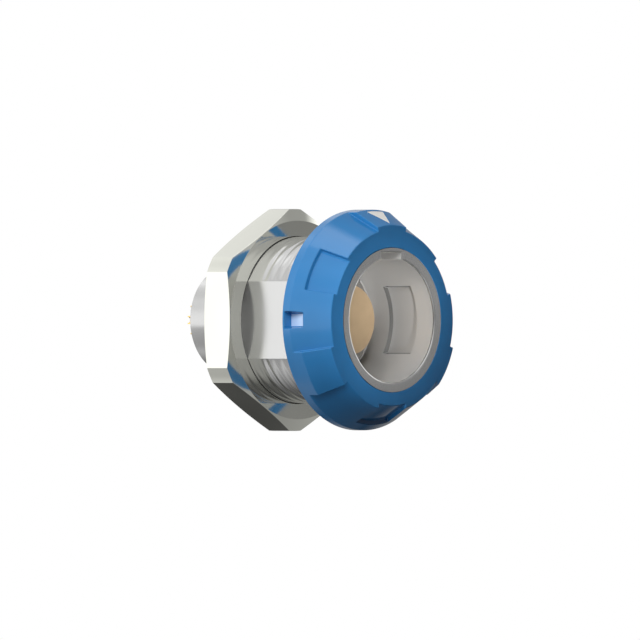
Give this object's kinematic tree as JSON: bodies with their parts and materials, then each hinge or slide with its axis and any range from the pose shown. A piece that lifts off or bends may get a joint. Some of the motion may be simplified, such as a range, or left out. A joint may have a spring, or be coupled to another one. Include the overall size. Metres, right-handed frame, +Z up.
{
  "type": "circular connector receptacle",
  "caption": "Panel-mount circular connector receptacle: keyed round socket, threaded barrel with flats, coloured notched front ring, thin hex nut and rear solder cups.",
  "frame": {"origin": "on the connector's axis, in the plane where the front ring seats on the panel", "axes": "-Y out of the mating face, +Y towards the solder cups, +Z up towards the keyway and arrow"},
  "size_m": [0.0198, 0.0231, 0.02],
  "materials": {
    "nickel_plating": "satin",
    "nickel_nut": "polished",
    "blue_ring": "satin",
    "white_inlay": "matt",
    "tan_insulator": "matt",
    "gold_plating": "gold plated"
  },
  "bodies": {
    "receptacle": {"shell": "nickel_plating", "insulator_front": "tan_insulator", "insulator_rear": "tan_insulator", "retaining_ring": "nickel_plating", "earthing_crown": "nickel_plating", "contact_01": "gold_plating", "contact_02": "gold_plating", "contact_03": "gold_plating", "contact_04": "gold_plating", "contact_05": "gold_plating", "contact_06": "gold_plating", "contact_07": "gold_plating", "contact_08": "gold_plating", "contact_09": "gold_plating", "contact_10": "gold_plating"},
    "coloured_ring": {"front_ring": "blue_ring", "arrow_mark": "white_inlay"},
    "panel_nut": {"hex_nut": "nickel_nut"}
  },
  "joints": [
    {"name": "ring_travel", "type": "slide", "parent": "receptacle", "child": "coloured_ring", "axis": [0, -1, 0], "range_m": [0, 0.002]},
    {"name": "nut_travel", "type": "slide", "parent": "receptacle", "child": "panel_nut", "axis": [0, -1, 0], "range_m": [-0.0009, 0.006]}
  ]
}
